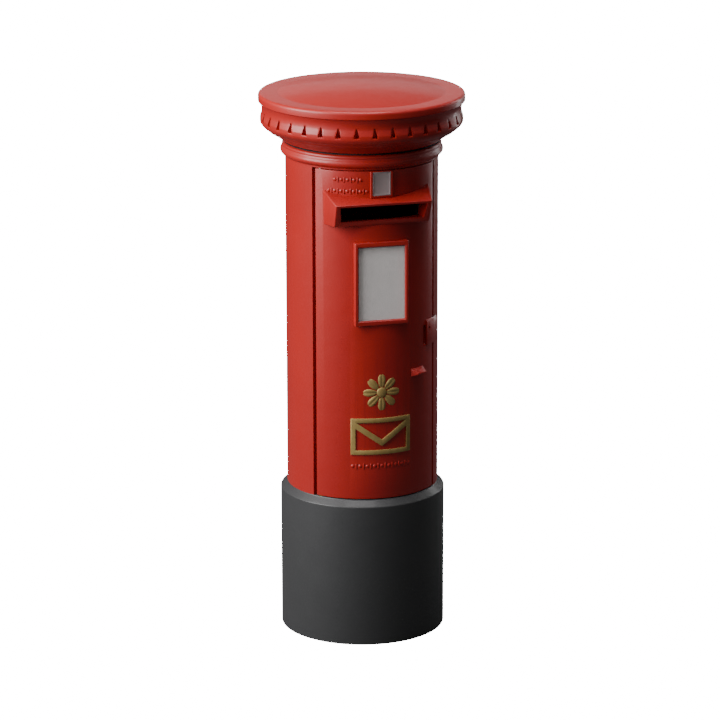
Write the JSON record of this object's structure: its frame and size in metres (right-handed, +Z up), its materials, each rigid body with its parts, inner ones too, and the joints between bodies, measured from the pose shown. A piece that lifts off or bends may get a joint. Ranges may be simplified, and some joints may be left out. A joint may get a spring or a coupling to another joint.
{
  "type": "mailbox",
  "caption": "Round cast pillar mailbox on a plinth with a moulded overhanging roof, hinged curved door, hooded letter slot, notice frame, lock and sliding inner letter guard.",
  "frame": {"origin": "centre of the plinth's underside", "axes": "+Z up the pillar, -Y out of the front of the door, +X to the right of someone facing it, which is the lock side"},
  "size_m": [0.5929, 0.593, 1.6115],
  "materials": {
    "pillar_box_red": "gloss",
    "plinth_grey": "satin",
    "gilding": "satin",
    "zinc_steel": "satin",
    "lock_brass": "satin",
    "tablet_enamel": "gloss",
    "clear_pane": "gloss",
    "notice_paper": "matte",
    "roof_mastic": "matte"
  },
  "bodies": {
    "pillar": {"plinth_casting": "plinth_grey", "base_bolts": "zinc_steel", "base_nuts": "zinc_steel", "floor_plate": "zinc_steel", "body_casting": "pillar_box_red", "roof_casting": "pillar_box_red", "roof_seal": "roof_mastic", "roof_bolts": "zinc_steel", "hinge_pin_upper": "zinc_steel", "hinge_pin_lower": "zinc_steel", "hinge_thrust_washer": "lock_brass", "lock_keep": "zinc_steel", "keep_screws": "zinc_steel", "guard_guide_left": "zinc_steel", "guard_guide_right": "zinc_steel", "guide_brackets": "zinc_steel", "guide_screws": "zinc_steel"},
    "door": {"door_casting": "pillar_box_red", "hinge_bush_upper": "lock_brass", "hinge_bush_lower": "lock_brass", "collection_tablet": "tablet_enamel", "door_pull": "pillar_box_red", "door_pull_nuts": "zinc_steel", "lock_cover_block": "pillar_box_red", "emblem_rosette": "gilding", "emblem_envelope": "gilding", "letter_chute": "zinc_steel", "chute_rivets": "zinc_steel", "notice_pane": "clear_pane", "notice_card": "notice_paper", "notice_back_plate": "zinc_steel", "notice_screws": "zinc_steel", "lock_case": "lock_brass", "lock_cap": "lock_brass", "lock_screws": "zinc_steel", "lever_pivot": "lock_brass"},
    "key_barrel": {"lock_curtain": "lock_brass"},
    "bolt": {"lock_bolt": "lock_brass", "lock_stump": "lock_brass"},
    "levers": {"lock_levers": "lock_brass", "lever_springs": "zinc_steel"},
    "letter_guard": {"letter_guard_frame": "zinc_steel", "letter_guard_wires": "zinc_steel", "guard_handle": "zinc_steel"}
  },
  "joints": [
    {"name": "door_hinge", "type": "hinge", "parent": "pillar", "child": "door", "pos_m": [-0.15648, -0.13899, 0.44], "axis": [0, 0, -1], "range_deg": [0, 100]},
    {"name": "key_turn", "type": "hinge", "parent": "door", "child": "key_barrel", "pos_m": [0.13369, -0.13507, 0.922], "axis": [0.6884, -0.7254, 0], "range_deg": [0, 80.1]},
    {"name": "bolt_slide", "type": "slide", "parent": "door", "child": "bolt", "axis": [0.7254, 0.6884, 0], "range_m": [0, 0.01401]},
    {"name": "lever_drop", "type": "hinge", "parent": "door", "child": "levers", "pos_m": [0.09416, -0.15879, 0.883], "axis": [-0.6884, 0.7254, 0], "range_deg": [0, 4]},
    {"name": "guard_lift", "type": "slide", "parent": "pillar", "child": "letter_guard", "axis": [0, 0, 1], "range_m": [0, 0.38]}
  ],
  "couplings": [
    {"joint": "key_turn", "follows": "bolt_slide", "rad_per_m": 99.641}
  ]
}
